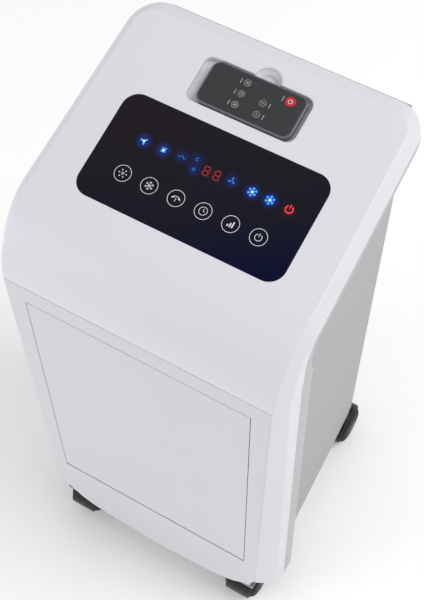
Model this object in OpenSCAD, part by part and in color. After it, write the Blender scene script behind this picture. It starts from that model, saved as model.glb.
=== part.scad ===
/* [Cabinet] */
// Half width of the flat face where the front meets the bend
face_hw = 126.5; // [124:0.5:129]
// Angle of the sloping top, rising towards the back
slope_a = 14.44; // [12:0.1:16]
// Height of the corner where the front plane and the slope plane meet
corner_z = 539.6; // [535:0.5:545]
// Radius of the bend between the front and the slope
bend_r = 72; // [66:1:76]
// Wall thickness of the moulded shells
wall = 2.5; // [2:0.1:3]
// Height of the underside of the cabinet above the floor
base_z = 50; // [50:0.5:54]

/* [Front door] */
// Width of the door opening
door_w = 215; // [205:1:220]
// Bottom of the door opening above the floor
door_z0 = 131.5; // [130:0.5:134]
// Top of the door opening above the floor
door_z1 = 460.5; // [455:0.5:466]
// Gap around the door
door_gap = 0.8; // [0.6:0.1:1.2]

/* [Control panel] */
// Width of the touch panel glass
glass_w = 185; // [175:1:190]
// Height of the touch panel glass along the slope
glass_h = 96; // [90:1:98]
// Corner radius of the touch panel glass
glass_r = 14; // [8:1:18]

/* [Remote control] */
// Length of the remote
remote_l = 86; // [80:1:88]
// Width of the remote
remote_w = 40; // [36:1:42]
// Thickness of the remote
remote_t = 7; // [6:0.5:7.5]
// Button travel
key_travel = 0.6; // [0.4:0.1:0.7]

/* [Air outlet] */
// Chord of each horizontal louvre
louvre_c = 33; // [28:1:34]
// Chord of each upright vane
vane_c = 30; // [26:1:32]
// Radius of the fan wheel
fan_r = 54; // [48:1:56]

/* [Casters] */
// Radius of the caster wheels
wheel_r = 23.5; // [21:0.5:23.5]
// Trail of the casters, from stem to axle
trail = 18; // [16:1:20]

/* [Hidden] */
$fn = 48;

// the model's origin is the centre of the footprint; the front plane is y_front behind it
y_front = -133.25;
sa = sin(slope_a);
ca = cos(slope_a);
ta = sa/ca;
// bend: tangent length, centre and sweep
turn = 90 - slope_a;
tan_l = bend_r*tan(turn/2);
bend_z = corner_z - tan_l;
// centre of the touch panel on the slope
disp_y = 108.8;
function slope_z(y) = corner_z + y*ta;
disp_z = slope_z(disp_y);
// centre of the remote on the slope, measured up the slope from the touch panel
remote_v = 81.2;
remote_proud = 1.0;
// finger scoop at the back edge of the remote recess: offset from the remote's centre, and the radius of its opening
scoop_u = 3;
scoop_v = 20;
scoop_r = 13.8;

// arc length along the path front -> bend -> slope, from the bottom of the front
front_len = bend_z - base_z;
bend_len = bend_r*turn*PI/180;
// point on the path at arc length s and depth d inside the skin: [y, z]
function path(s, d) =
  s < front_len ? [d, base_z + s] :
  s < front_len + bend_len ?
    let(f = (s - front_len)/bend_len*turn) [bend_r - (bend_r - d)*cos(f), bend_z + (bend_r - d)*sin(f)] :
    let(l = s - front_len - bend_len + tan_l) [l*ca + d*sa, corner_z + l*ta*ca - d*ca];
// 0 on the slope, 1 on the front, smooth in the bend
function frontness(s) = let(f = min(1, max(0, (front_len + bend_len*0.95 - s)/(bend_len*0.8)))) f*f*(3 - 2*f);
s_crease_end = front_len + bend_len + (disp_y/ca - tan_l) + 121;
crease_r = 18;
// half width of the flat face at arc length s, without the back corners
function face_w(s) = s < front_len ? 122.5 + (face_hw - 1 - 122.5)*s/front_len :
   s < front_len + bend_len ? face_hw - 1 + (s - front_len)/bend_len :
   face_hw - (s - front_len - bend_len)*0.0195;
// the outline of the flat face: [u, s, normal_u, normal_s], from the bottom up to the back corner's end
front_steps = 7;
bend_steps = 12;
slope_steps = 4;
corner_steps = 8;
s_c = s_crease_end - crease_r;
outline = concat(
  [for (i = [0:front_steps - 1]) let(s = front_len*i/front_steps) [face_w(s), s, 1, 0]],
  [for (i = [0:bend_steps]) let(s = front_len + bend_len*i/bend_steps) [face_w(s), s, 1, 0]],
  [for (i = [1:slope_steps - 1]) let(s = front_len + bend_len + (s_c - front_len - bend_len)*i/slope_steps) [face_w(s), s, 1, 0]],
  [for (i = [0:corner_steps]) let(a = 90*i/corner_steps) [face_w(s_c) - crease_r + crease_r*cos(a), s_c + crease_r*sin(a), cos(a), sin(a)]]);
no = len(outline);
band_out = 8;
band_back = 12.5;
// a point of the shell: outline index i, outward step o (at the side), depth d, side sgn
// the lower end rises from the flange to the front panel's lower corner: lift is that rise
function sp(i, o, ob, d, sgn, lift = 0) = let(q = outline[i], yz = path(q[1] + q[3]*ob + (i == 0 ? lift : 0), d)) [sgn*(q[0] + q[2]*o), yz[0], yz[1]];
corner_lift = 39.5;
// 0 at the top of the front, 1 at its foot: the band grows wider and deeper towards the floor
function low(s) = s < front_len ? 1 - s/front_len : 0;
// depth of the band's edge, of the shoulder behind it and of the rim's end, and the outward steps
function d_edge(i) = 8 + 7*frontness(outline[i][1]) + 7*low(outline[i][1]);
function d_shoulder(i) = 10 + 21*frontness(outline[i][1]) + 6*low(outline[i][1]);
function d_end(i) = 18.5 + 30*frontness(outline[i][1]) + 4*low(outline[i][1]);
function out_edge(i) = band_out + 0.6*frontness(outline[i][1]) + 5.6*pow(low(outline[i][1]), 1.1);
function out_shoulder(i) = 0.7 + 0.1*frontness(outline[i][1]);
// rings of points round the outline, right side then left side reversed: 0 to 2 outside, 3 to 5 inside
function ring(k) = concat(
  [for (i = [0:no - 1]) rp(k, i, 1)], [for (i = [no - 1:-1:0]) rp(k, i, -1)]);
function rp(k, i, g) =
  k == 0 ? sp(i, 0, 0, 0, g, corner_lift) :
  k == 1 ? sp(i, out_edge(i), band_back, d_edge(i), g) :
  k == 2 ? sp(i, out_edge(i) + out_shoulder(i), band_back + out_shoulder(i), d_shoulder(i), g) :
  k == 3 ? sp(i, out_edge(i) + out_shoulder(i) - wall, band_back + out_shoulder(i) - wall, d_shoulder(i) - 0.3, g) :
  k == 4 ? sp(i, out_edge(i) - wall, band_back - wall, d_edge(i) + 0.8, g, 11) :
           sp(i, -0.8, -0.8, wall, g, corner_lift - 1);
module shell_skin() {
  n = 2*no;
  pts = concat(ring(0), ring(1), ring(2), ring(3), ring(4), ring(5));
  bands = [for (k = [0:4]) for (j = [0:n - 2]) let(a = k*n + j, b = a + 1, c = a + n, d = b + n) each [[a, d, b], [a, c, d]]];
  cap0 = [for (i = [0:no - 2]) let(r0 = i, r1 = i + 1, l0 = n - 1 - i, l1 = n - 2 - i) each [[r0, r1, l0], [r1, l1, l0]]];
  cap5 = [for (i = [0:no - 2]) let(o = 5*n, r0 = o + i, r1 = o + i + 1, l0 = o + n - 1 - i, l1 = o + n - 2 - i) each [[r0, l0, r1], [r1, l0, l1]]];
  // the lower end: one leg each side and the strip between them
  legs = [for (f = [[5, 4, 0], [4, 1, 0], [4, 2, 1], [4, 3, 2]]) each [[f[0]*n, f[1]*n, f[2]*n], [f[2]*n + n - 1, f[1]*n + n - 1, f[0]*n + n - 1]]];
  strip = [[0, n - 1, 6*n - 1], [0, 6*n - 1, 5*n]];
  polyhedron(points = pts, faces = [for (f = concat(bands, cap0, cap5, legs, strip)) [f[2], f[1], f[0]]], convexity = 8);
}
// the rim behind the shell: a closed ring of four edges round the outline, open at the floor
rim_gap = 0.25;
function rim_ring(k) = concat(
  [for (i = [0:no - 1]) rrp(k, i, 1)], [for (i = [no - 1:-1:0]) rrp(k, i, -1)]);
function rrp(k, i, g) = let(o = out_edge(i) + out_shoulder(i), b = band_back + out_shoulder(i)) let(w = k == 0 || k == 1 ? 0 : wall)
  k == 0 ? sp(i, o, b, d_shoulder(i) + rim_gap, g) :
  k == 1 ? sp(i, o + 0.3, b + 0.3, d_end(i), g) :
  k == 2 ? sp(i, o + 0.3 - w, b + 0.3 - w, d_end(i) - 0.3, g) :
           sp(i, o - w, b - w, d_shoulder(i) + rim_gap - 0.2, g);
module rim_skin() {
  n = 2*no;
  pts = concat(rim_ring(0), rim_ring(1), rim_ring(2), rim_ring(3));
  bands = [for (k = [0:3]) for (j = [0:n - 2]) let(k2 = (k + 1)%4, a = k*n + j, b = a + 1, c = k2*n + j, d = c + 1) each [[a, d, b], [a, c, d]]];
  ends = [[0, n, 2*n], [0, 2*n, 3*n], [n - 1, 3*n - 1, 2*n - 1], [n - 1, 4*n - 1, 3*n - 1]];
  polyhedron(points = pts, faces = [for (f = concat(bands, [for (e = ends) [e[2], e[1], e[0]]])) [f[2], f[1], f[0]]], convexity = 8);
}
module origin() { translate([0, y_front, 0]) children(); }
module on_slope(v = 0, h = 0) { translate([0, disp_y, disp_z]) rotate([slope_a, 0, 0]) translate([0, v, h]) children(); }
module rrect(w, h, r) { union() { square([w - 2*r, h], center = true); square([w, h - 2*r], center = true);
  for (x = [-1, 1]) for (y = [-1, 1]) translate([x*(w/2 - r), y*(h/2 - r)]) circle(r = r); } }
module rbox(w, h, r, z0, z1) { translate([0, 0, z0]) linear_extrude(z1 - z0) rrect(w, h, r); }
module rod_x(x0, x1, y, z, r) { translate([x0, y, z]) rotate([0, 90, 0]) cylinder(r = r, h = x1 - x0); }
module rod_y(x, y0, y1, z, r) { translate([x, y1, z]) rotate([90, 0, 0]) cylinder(r = r, h = y1 - y0); }
module rod_z(x, y, z0, z1, r) { translate([x, y, z0]) cylinder(r = r, h = z1 - z0); }
module box(a, b) { translate(a) cube([b[0] - a[0], b[1] - a[1], b[2] - a[2]]); }
// extrude a profile drawn in (y, z) along x
module along_x(x0, x1) { translate([x0, 0, 0]) rotate([90, 0, 90]) linear_extrude(x1 - x0) children(); }

// ---- cabinet ----
panel_top = bend_z - 0.8;
panel_hw0 = 121.4;
panel_hw1 = face_hw - 1.6;
// lower edge of the front, right half: [x, z]
arch_r = [[0, 39.6], [30, 42.3], [57, 45], [70, 47], [84, 51], [96, 57], [107, 67], [115.5, 77.5], [panel_hw0, 90]];
arch = concat([for (i = [len(arch_r) - 1:-1:1]) [-arch_r[i][0], arch_r[i][1]]], arch_r);
module top_front_shell() { color("white") origin() difference() {
  shell_skin();
  // opening of the front panel
  translate([0, 6, 0]) rotate([90, 0, 0]) linear_extrude(8) polygon([[-panel_hw0 - 0.4, 0], [panel_hw0 + 0.4, 0], [panel_hw1 + 0.4, bend_z], [-panel_hw1 - 0.4, bend_z]]);
  // touch panel and remote recess
  on_slope() rbox(glass_w + 0.6, glass_h + 0.6, glass_r + 0.3, -6, 3);
  on_slope(remote_v, 0) translate([-2.5, 0, 0]) rbox(100.6, 44.6, 9, -6, 3);
  // finger scoop at the back edge of the recess
  on_slope(remote_v + scoop_v, 0) rod_z(scoop_u, 0, -6, 3, scoop_r);
} }
module body_rim() { color("lightgray") origin() rim_skin(); }
module front_panel() { color("white") origin() difference() {
  union() {
    translate([0, wall, 0]) rotate([90, 0, 0]) linear_extrude(wall)
      polygon(concat(arch, [[panel_hw1, panel_top], [-panel_hw1, panel_top]]));
    // pivot lugs of the door
    for (g = [-1, 1]) box([g > 0 ? 108.2 : -112.2, 1.2, door_z0 - 1], [g > 0 ? 112.2 : -108.2, 12, door_z0 + 14]);
    // small round lug on the lower edge, right side
    translate([111, wall, 73.5]) rotate([90, 0, 0]) cylinder(r = 5, h = wall);
    // stop rib behind the top edge of the door
    box([-100, wall - 0.5, door_z1 + 2], [100, 10, door_z1 + 4.5]);
  }
  box([-door_w/2, -1, door_z0], [door_w/2, 20, door_z1]);
  rod_x(-130, 130, 4, door_z0 + 4.8, 2.55);
} }
module display_glass() { color([0.1, 0.09, 0.13]) origin() on_slope() rbox(glass_w, glass_h, glass_r, -3, 0.15); }
module control_board() { color("darkgreen") origin() on_slope() union() {
  rbox(168, 78, 3, -10.6, -9);
  // six touch springs under the glass
  for (i = [0:5]) translate([-60.75 + 24.3*i, -18.8, 0]) rod_z(0, 0, -9, -3.2, 4);
  // digit display and indicator lamps
  translate([2.5, 12, 0]) translate([-12, -7, -9]) cube([24, 14, 5]);
} }
module remote_tray() { color("white") origin() on_slope(remote_v) difference() {
  union() { translate([-2.5, 0, 0]) rbox(105, 49, 11, -8.5, -2.7);
    translate([scoop_u, scoop_v, 0]) rod_z(0, 0, -9.5, -2.7, scoop_r + 2.2);
    translate([-2.5, 0, 0]) rbox(100, 44, 8.7, -3, -0.6);
    translate([scoop_u, scoop_v, 0]) rod_z(0, 0, -3, -0.6, scoop_r - 0.3); }
  translate([-2.5, 0, 0]) rbox(97, 41, 8.4, -6, 1);
  translate([scoop_u, scoop_v, 0]) rod_z(0, 0, -8, 1, scoop_r - 1.5);
} }
side_in = atan(12/215);
side_x = 123;
module side_profile() { polygon([[0, base_z], [0, bend_z + 55], [9, bend_z + 62], [20, slope_z(58) - 3.8], [180, slope_z(218) - 3.8], [194, slope_z(232) - 12], [205, slope_z(243) - 22], [205, base_z]]); }
module side_panel_right() { color("lightgray") origin() translate([side_x, 38, 0]) rotate([0, 0, side_in])
  translate([-wall, 0, 0]) rotate([90, 0, 90]) linear_extrude(wall) side_profile(); }
module side_panel_left() { color("lightgray") mirror([1, 0, 0]) side_panel_right(); }
module rear_frame() { color("lightgray") origin() difference() {
  union() { box([-110.5, 245.5, base_z], [110.5, 250, 582]);
    // turned-in sides that meet the side panels
    for (g = [-1, 1]) box([g > 0 ? 106.2 : -108.2, 241, 200], [g > 0 ? 108.2 : -106.2, 246, 580]); }
  box([-99.5, 230, 222], [99.5, 260, 548]);
  box([-87, 230, 54.5], [87, 260, 195]);
  // gland hole
  rod_y(96, 230, 260, 208, 6);
} }
module base_plate() { color("gray") origin() difference() {
  union() {
    translate([0, 0, base_z]) linear_extrude(4) polygon([[-117, 4], [117, 4], [118.5, 38], [107, 245], [-107, 245], [-118.5, 38]]);
    // caster sockets
    for (x = [-100, 100]) for (y = [44.5, 223]) rod_z(x, y, base_z, 82, 9.5);
    // central foot pad
    box([-40, 90, base_z - 3], [40, 190, base_z + 1]);
    // tank runners
    for (g = [-1, 1]) box([g*86 - 1, 72, 53], [g*86 + 1, 225, 66]);
  }
  for (x = [-100, 100]) for (y = [44.5, 223]) rod_z(x, y, base_z - 1, 78, 5.55);
} }
// ---- air path ----
lz = [309, 347, 385, 423];
ly = 24;
vx = [-66, -22, 22, 66];
vy = 62;
module outlet_frame() { color("silver") origin() difference() {
  box([-107, 7, 282], [107, 84, 450]);
  box([-100, 6, 288], [100, 85, 444]);
  for (z = lz) rod_x(-110, 110, ly, z, 2.05);
  for (x = vx) rod_z(x, vy, 270, 460, 2.05);
} }
module louvre(z, lead = false) { color("white") origin() union() {
  difference() {
    along_x(-97, 97) translate([ly, z]) union() { square([louvre_c - 2, 2], center = true); for (g = [-1, 1]) translate([g*(louvre_c/2 - 1), 0]) circle(r = 1); circle(r = 2.6); }
    rod_x(-98, 98, ly, z, 2);
  }
  rod_x(-103, 103, ly, z, 2);
  // crank pin for the link
  rod_x(96, 98.9, ly + 12, z, 1);
} }
module louvre_1() { louvre(lz[0]); }
module louvre_2() { louvre(lz[1]); }
module louvre_3() { louvre(lz[2]); }
module louvre_4() { louvre(lz[3]); }
module louvre_link() { color("white") origin() difference() {
  box([97.4, ly + 9, lz[0] - 4], [98.6, ly + 15, lz[3] + 4]);
  for (z = lz) rod_x(90, 105, ly + 12, z, 1.08);
} }
module vane(x, top = 449) { color("lightgray") origin() union() {
  difference() {
    translate([x, vy, 291]) linear_extrude(148) union() { square([2, vane_c - 2], center = true); for (g = [-1, 1]) translate([0, g*(vane_c/2 - 1)]) circle(r = 1); circle(r = 2.6); }
    rod_z(x, vy, 290, 440, 2);
  }
  rod_z(x, vy, 285, top, 2);
  rod_z(x, vy + 12, 438, 442.6, 1);
} }
module vane_1() { vane(vx[0], 455); }
module vane_2() { vane(vx[1]); }
module vane_3() { vane(vx[2]); }
module vane_4() { vane(vx[3]); }
module vane_link() { color("white") origin() difference() {
  box([vx[0] - 4, vy + 9, 440], [vx[3] + 4, vy + 15, 441.4]);
  for (x = vx) rod_z(x, vy + 12, 430, 450, 1.08);
} }
fy = 145;
fz = 366;
module fan_housing() { color("silver") origin() difference() {
  union() {
    // end plates
    for (x = [[-104, -101], [76, 79]]) box([x[0], 84.2, 282], [x[1], 202, 450]);
    // roof and floor of the duct
    box([-104, 84.2, 447], [107, 202, 450]);
    box([-104, 84.2, 282], [107, 202, 285]);
    box([79, 84.2, 282], [107, 87, 450]);
    // curved guide behind the wheel and tongue in front of it
    along_x(-102, 77) translate([fy, fz]) intersection() { difference() { circle(r = fan_r + 9); circle(r = fan_r + 6); } polygon([[0, 0], [30, -90], [-90, -90], [-70, -30]]); }
    along_x(-102, 77) polygon([[86, 449], [112, 449], [101, 420], [97, 420]]);
  }
  rod_x(-110, -90, fy, fz, 9);
  rod_x(70, 90, fy, fz, 12);
} }
module shaft_bush() { color("goldenrod") origin() difference() { union() { rod_x(-106, -100.2, fy, fz, 9); rod_x(-107, -104.2, fy, fz, 11.5); } rod_x(-110, -90, fy, fz, 4.05); } }
module fan_motor() { color("silver") origin() difference() { union() { rod_x(79.2, 108, fy, fz, 31); rod_x(77, 80, fy, fz, 11.8); for (a = [45:90:315]) translate([0, fy, fz]) rotate([a, 0, 0]) rod_x(79.2, 84, 0, 35, 5); }
  rod_x(70, 105, fy, fz, 4.05); } }
module fan_wheel() { color("dimgray") origin() difference() { union() {
  for (x = [[-98, -95.5], [-12, -10], [71.5, 74]]) rod_x(x[0], x[1], fy, fz, fan_r);
  for (i = [0:19]) translate([0, fy, fz]) rotate([18*i, 0, 0]) translate([-96, fan_r - 12.2, 0]) rotate([-28, 0, 0]) cube([169, 11, 1.4]);
  rod_x(-98, -88, fy, fz, 8); rod_x(64, 74, fy, fz, 8);
  } rod_x(-110, 110, fy, fz, 4); } }
module fan_shaft() { color("silver") origin() rod_x(-106.5, 103, fy, fz, 4); }
module swing_motor() { color("silver") origin() difference() { union() { rod_z(vx[0], vy + 6, 451, 468, 13); box([vx[0] - 20, vy + 3, 451], [vx[0] + 20, vy + 9, 452.2]); } rod_z(vx[0], vy, 450, 456, 2.1); } }
module door_motor() { color("silver") origin() difference() { union() { rod_x(-120, -112.6, 11.2, door_z0 + 4.8, 8.4); box([-114, 10, door_z0 - 13], [-112.6, 16, door_z0 + 22]); } rod_x(-121, -112, 4, door_z0 + 4.8, 2.6); } }
// ---- water side ----
module water_tray() { color("white") origin() difference() { box([-98, 202.5, 524], [98, 240, 546]); box([-96, 204.5, 526], [96, 238, 550]); for (x = [-84:24:84]) rod_z(x, 221, 520, 530, 2); rod_x(90, 100, 222, 536, 3.2); } }
module riser_hose() { color("white") origin() difference() {
  union() { rod_z(103, 222, 204, 536, 3); rod_x(60, 103, 222, 204, 3); rod_x(92, 103, 222, 536, 3); rod_z(60, 222, 199, 204, 3); for (q = [[103, 204], [103, 536], [60, 204]]) translate([q[0], 222, q[1]]) sphere(r = 3); }
  rod_z(103, 222, 204, 536, 2); rod_x(60, 103, 222, 204, 2); rod_x(91, 103, 222, 536, 2); rod_z(60, 222, 198, 204, 2); } }
module ioniser() { color("black") origin() union() { box([-99, 92, 456], [-64, 112, 470]); rod_y(-82, 80, 93, 463, 1.5); box([-96, 94, 450.1], [-67, 110, 456]); } }
module power_board() { color("darkgreen") origin() union() { box([-60, 105, 458], [60, 175, 459.6]); box([-40, 115, 459.6], [-10, 145, 480]); rod_z(15, 130, 459.6, 482, 8); rod_z(38, 130, 459.6, 478, 6); box([-55, 150, 459.6], [30, 165, 470]); for (x = [-54, 54]) for (y = [110, 170]) rod_z(x, y, 450.1, 458, 3); } }
module cord_gland() { color("black") origin() difference() { union() { rod_y(96, 240, 253, 208, 5.9); rod_y(96, 250.1, 253, 208, 8.5); rod_y(96, 243, 245.4, 208, 8.5); } rod_y(96, 235, 260, 208, 3.4); } }
module case_screws() { color("silver") origin() union() {
  for (x = [-103, 103]) for (z = [226, 340, 460, 565]) union() { rod_y(x, 250, 252.2, z, 3.4); rod_y(x, 240, 250.5, z, 1.6); }
} }
// ---- door ----
module front_door() { color("white") origin() union() {
  box([-(door_w/2 - door_gap), 0, door_z0 + 4.8], [door_w/2 - door_gap, wall, door_z1 - door_gap]);
  rod_x(-(door_w/2 - door_gap), door_w/2 - door_gap, 4, door_z0 + 4.8, 4);
  // stiffening ribs
  for (x = [-96, -32, 32, 94.5]) box([x, 2, door_z0 + 6], [x + 1.5, 6, 276]);
  for (z = [180, 230, 276]) box([-96, 2, z], [96, 6, z + 1.5]);
  // pivot pins moulded on; the long one turns the left side's gear motor
  rod_x(-118, -106, 4, door_z0 + 4.8, 2.5); rod_x(106, 112, 4, door_z0 + 4.8, 2.5); } }
// ---- remote ----
keys = [["power", 29, 11, 4.5], ["speed", -9.5, 11, 3.4], ["timer", -9.5, 0.4, 3.4], ["cool", -9.5, -10, 3.4], ["swing", 10, 0.4, 3.4], ["ion", 10, -10.3, 3.4]];
rt = remote_proud;
module remote_at() { origin() on_slope(remote_v) children(); }
module remote_shell() { color([0.2, 0.2, 0.21]) remote_at() difference() {
  rbox(remote_l, remote_w, 8, rt - remote_t + 0.15, rt);
  for (k = keys) translate([k[1], k[2], 0]) rod_z(0, 0, rt - 2.6, rt + 1, k[3] + 0.25);
  translate([-28, 0, 0]) rbox(24.6, 24.6, 2, rt - remote_t - 1, rt - remote_t + 3.6);
} }
module battery_tray() { color([0.2, 0.2, 0.21]) remote_at() translate([-28, 0, 0]) rbox(24, 24, 1.7, rt - remote_t + 0.3, rt - remote_t + 3.4); }
module key(i) { color(i == 0 ? "red" : "gray") remote_at() translate([keys[i][1], keys[i][2], 0]) rod_z(0, 0, rt - 1.7, rt + 0.35, keys[i][3]); }
module power_key() { key(0); }
module speed_key() { key(1); }
module timer_key() { key(2); }
module cool_key() { key(3); }
module swing_key() { key(4); }
module ion_key() { key(5); }
// ---- rear ----
module rear_grille() { color("lightgray") origin() difference() { union() {
  difference() { box([-98.5, 246.5, 223], [98.5, 252, 547]); box([-90, 240, 232], [90, 260, 522]); }
  for (z = [240:13:514]) box([-91, 247.5, z], [91, 251, z + 3]);
  for (x = [-45, 0, 45]) box([x - 1.5, 246.5, 231], [x + 1.5, 250, 523]);
  // side rails behind the grille carry the filter and the cooling pad, on small ledges
  for (g = [-1, 1]) { box([g > 0 ? 96.6 : -98.4, 204, 226], [g > 0 ? 98.4 : -96.6, 248, 520]); box([g > 0 ? 88 : -97, 206, 226], [g > 0 ? 97 : -88, 240, 227.8]); }
  } } }
module dust_filter() { color("gray") origin() box([-96, 241, 228], [96, 246, 518]); }
module cooling_pad() { color("burlywood") origin() box([-96, 205, 228], [96, 240.5, 518]); }
module water_tank() { color("lightblue") origin() difference() { union() {
  box([-83, 72, 55.2], [83, 250, 188]);
  box([-85.8, 246, 55.2], [85.8, 252, 193.5]);
  } box([-80.5, 74.5, 58], [80.5, 243.5, 195]);
  // finger pull
  box([-35, 246.5, 165], [35, 260, 182]); } }
module pump() { color("black") origin() union() { rod_z(60, 222, 58, 92, 18); rod_z(60, 222, 92, 190, 3.5); rod_z(60, 222, 96, 100, 7); } }
// ---- casters: stem x, stem y, direction of the trail ----
cas = [[-100, 44.5, -1], [100, 44.5, -1], [-100, 223, 1], [100, 223, 1]];
hood_w = 14.5;
hood_r = 25.5;
wz = wheel_r;
module hood(i) { color([0.13, 0.13, 0.15]) origin() translate([cas[i][0], cas[i][1], 0]) difference() {
  union() {
    // stem and neck
    rod_z(0, 0, 45, 76, 5.5);
    rod_z(0, 0, 34, base_z - 0.4, 8);
    // central web and hood over both wheels
    rod_x(-3, 3, cas[i][2]*trail, wz, hood_r - 4);
    intersection() { rod_x(-hood_w, hood_w, cas[i][2]*trail, wz, hood_r); translate([0, cas[i][2]*trail, wz - 2 + 40]) cube([60, 60, 80], center = true); }
  }
  // wheel spaces
  for (g = [-1, 1]) rod_x(g > 0 ? 3 : -21, g > 0 ? 21 : -3, cas[i][2]*trail, wz, wheel_r + 0.6);
  rod_x(-19, 19, cas[i][2]*trail, wz, 3.05);
} }
module axle(i) { color("silver") origin() rod_x(cas[i][0] - 16, cas[i][0] + 16, cas[i][1] + cas[i][2]*trail, wz, 3.05); }
module wheels(i) { color([0.15, 0.15, 0.16]) origin() translate([cas[i][0], cas[i][1] + cas[i][2]*trail, 0]) union() {
  for (g = [-1, 1]) difference() {
    // tread under the hood, and the domed cap outside it in two steps
    union() { rod_x(g > 0 ? 3.8 : -14.2, g > 0 ? 14.2 : -3.8, 0, wz, wheel_r); rod_x(g > 0 ? 14 : -17.2, g > 0 ? 17.2 : -14, 0, wz, wheel_r - 2); rod_x(g > 0 ? 17 : -19.4, g > 0 ? 19.4 : -17, 0, wz, wheel_r - 7); }
    rod_x(-16.5, 16.5, 0, wz, 3.1); } } }
module caster_hood_fl() { hood(0); }
module caster_hood_fr() { hood(1); }
module caster_hood_rl() { hood(2); }
module caster_hood_rr() { hood(3); }
module caster_axle_fl() { axle(0); }
module caster_axle_fr() { axle(1); }
module caster_axle_rl() { axle(2); }
module caster_axle_rr() { axle(3); }
module caster_wheels_fl() { wheels(0); }
module caster_wheels_fr() { wheels(1); }
module caster_wheels_rl() { wheels(2); }
module caster_wheels_rr() { wheels(3); }
// draw
top_front_shell();
body_rim();
front_panel();
display_glass();
control_board();
remote_tray();
side_panel_left();
side_panel_right();
rear_frame();
base_plate();
outlet_frame();
fan_housing();
fan_motor();
shaft_bush();
swing_motor();
door_motor();
water_tray();
riser_hose();
ioniser();
power_board();
cord_gland();
case_screws();
front_door();
louvre_1();
louvre_2();
louvre_3();
louvre_4();
louvre_link();
vane_1();
vane_2();
vane_3();
vane_4();
vane_link();
fan_wheel();
fan_shaft();
remote_shell();
battery_tray();
power_key();
speed_key();
timer_key();
cool_key();
swing_key();
ion_key();
rear_grille();
dust_filter();
cooling_pad();
water_tank();
pump();
caster_hood_fl();
caster_hood_fr();
caster_hood_rl();
caster_hood_rr();
caster_axle_fl();
caster_axle_fr();
caster_axle_rl();
caster_axle_rr();
caster_wheels_fl();
caster_wheels_fr();
caster_wheels_rl();
caster_wheels_rr();
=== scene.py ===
import bpy, bmesh, math, random
from mathutils import Vector, Matrix


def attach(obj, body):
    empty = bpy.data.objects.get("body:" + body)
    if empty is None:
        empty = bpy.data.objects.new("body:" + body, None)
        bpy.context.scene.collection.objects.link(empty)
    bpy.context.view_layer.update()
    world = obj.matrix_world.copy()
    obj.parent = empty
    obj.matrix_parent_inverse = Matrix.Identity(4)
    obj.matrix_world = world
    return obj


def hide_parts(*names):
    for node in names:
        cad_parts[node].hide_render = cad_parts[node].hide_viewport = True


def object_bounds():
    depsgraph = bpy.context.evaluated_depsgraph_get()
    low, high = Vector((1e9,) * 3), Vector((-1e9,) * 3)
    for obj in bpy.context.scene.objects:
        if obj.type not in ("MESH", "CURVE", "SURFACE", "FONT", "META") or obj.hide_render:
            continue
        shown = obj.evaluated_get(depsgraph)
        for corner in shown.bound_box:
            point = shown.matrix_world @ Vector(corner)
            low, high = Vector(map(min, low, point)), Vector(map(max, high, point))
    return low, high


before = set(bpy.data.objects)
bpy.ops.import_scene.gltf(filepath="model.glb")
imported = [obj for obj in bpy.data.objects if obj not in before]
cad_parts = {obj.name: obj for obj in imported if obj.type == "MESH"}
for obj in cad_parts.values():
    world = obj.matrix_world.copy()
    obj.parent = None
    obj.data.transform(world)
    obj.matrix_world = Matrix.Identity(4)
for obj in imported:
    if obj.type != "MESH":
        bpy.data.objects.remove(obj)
BOX0 = [list(map(float, c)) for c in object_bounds()]
random.seed(7)
scene = bpy.context.scene
scene.view_settings.view_transform = "Standard"

# ------------------------------------------------------------------ numbers shared with the CAD, mm
YF = -133.25
SLOPE = math.radians(14.44)
SA, CA, TA = math.sin(SLOPE), math.cos(SLOPE), math.tan(SLOPE)
CORNER_Z, BEND_R, BASE_Z, FACE_HW = 539.6, 72.0, 50.0, 126.5
TURN = math.radians(90 - 14.44)
TAN_L = BEND_R * math.tan(TURN / 2)
BEND_Z = CORNER_Z - TAN_L
FRONT_LEN = BEND_Z - BASE_Z
BEND_LEN = BEND_R * TURN
DISP_Y = 108.8
DISP_Z = CORNER_Z + DISP_Y * TA
REM_V = 81.2
S_END = FRONT_LEN + BEND_LEN + (DISP_Y / CA - TAN_L) + 121
CORNER_R = 18.0


def path(s, d):
    if s < FRONT_LEN:
        return d, BASE_Z + s
    if s < FRONT_LEN + BEND_LEN:
        f = (s - FRONT_LEN) / BEND_LEN * TURN
        return BEND_R - (BEND_R - d) * math.cos(f), BEND_Z + (BEND_R - d) * math.sin(f)
    l = s - FRONT_LEN - BEND_LEN + TAN_L
    return l * CA + d * SA, CORNER_Z + l * SA - d * CA


def frontness(s):
    f = min(1.0, max(0.0, (FRONT_LEN + BEND_LEN * 0.95 - s) / (BEND_LEN * 0.8)))
    return f * f * (3 - 2 * f)


def face_w(s):
    if s < FRONT_LEN:
        return 122.5 + (FACE_HW - 1 - 122.5) * s / FRONT_LEN
    if s < FRONT_LEN + BEND_LEN:
        return FACE_HW - 1 + (s - FRONT_LEN) / BEND_LEN
    return FACE_HW - (s - FRONT_LEN - BEND_LEN) * 0.0195


def mm(x, y, z):
    """local mm (y from the front face) -> metres in the model frame"""
    return Vector((x / 1000, (y + YF) / 1000, z / 1000))


def on_slope(u, v, h=0.0):
    """slope coordinates, mm -> metres"""
    return mm(u, DISP_Y + v * CA - h * SA, DISP_Z + v * SA + h * CA)


SLOPE_M = Matrix(((1, 0, 0), (0, CA, -SA), (0, SA, CA)))


# ------------------------------------------------------------------ mesh helpers
def new_obj(name, verts, faces, smooth=True):
    me = bpy.data.meshes.new(name)
    me.from_pydata([tuple(v) for v in verts], [], faces)
    me.validate()
    ob = bpy.data.objects.new(name, me)
    scene.collection.objects.link(ob)
    if smooth:
        for p in me.polygons:
            p.use_smooth = True
    return ob


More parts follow.
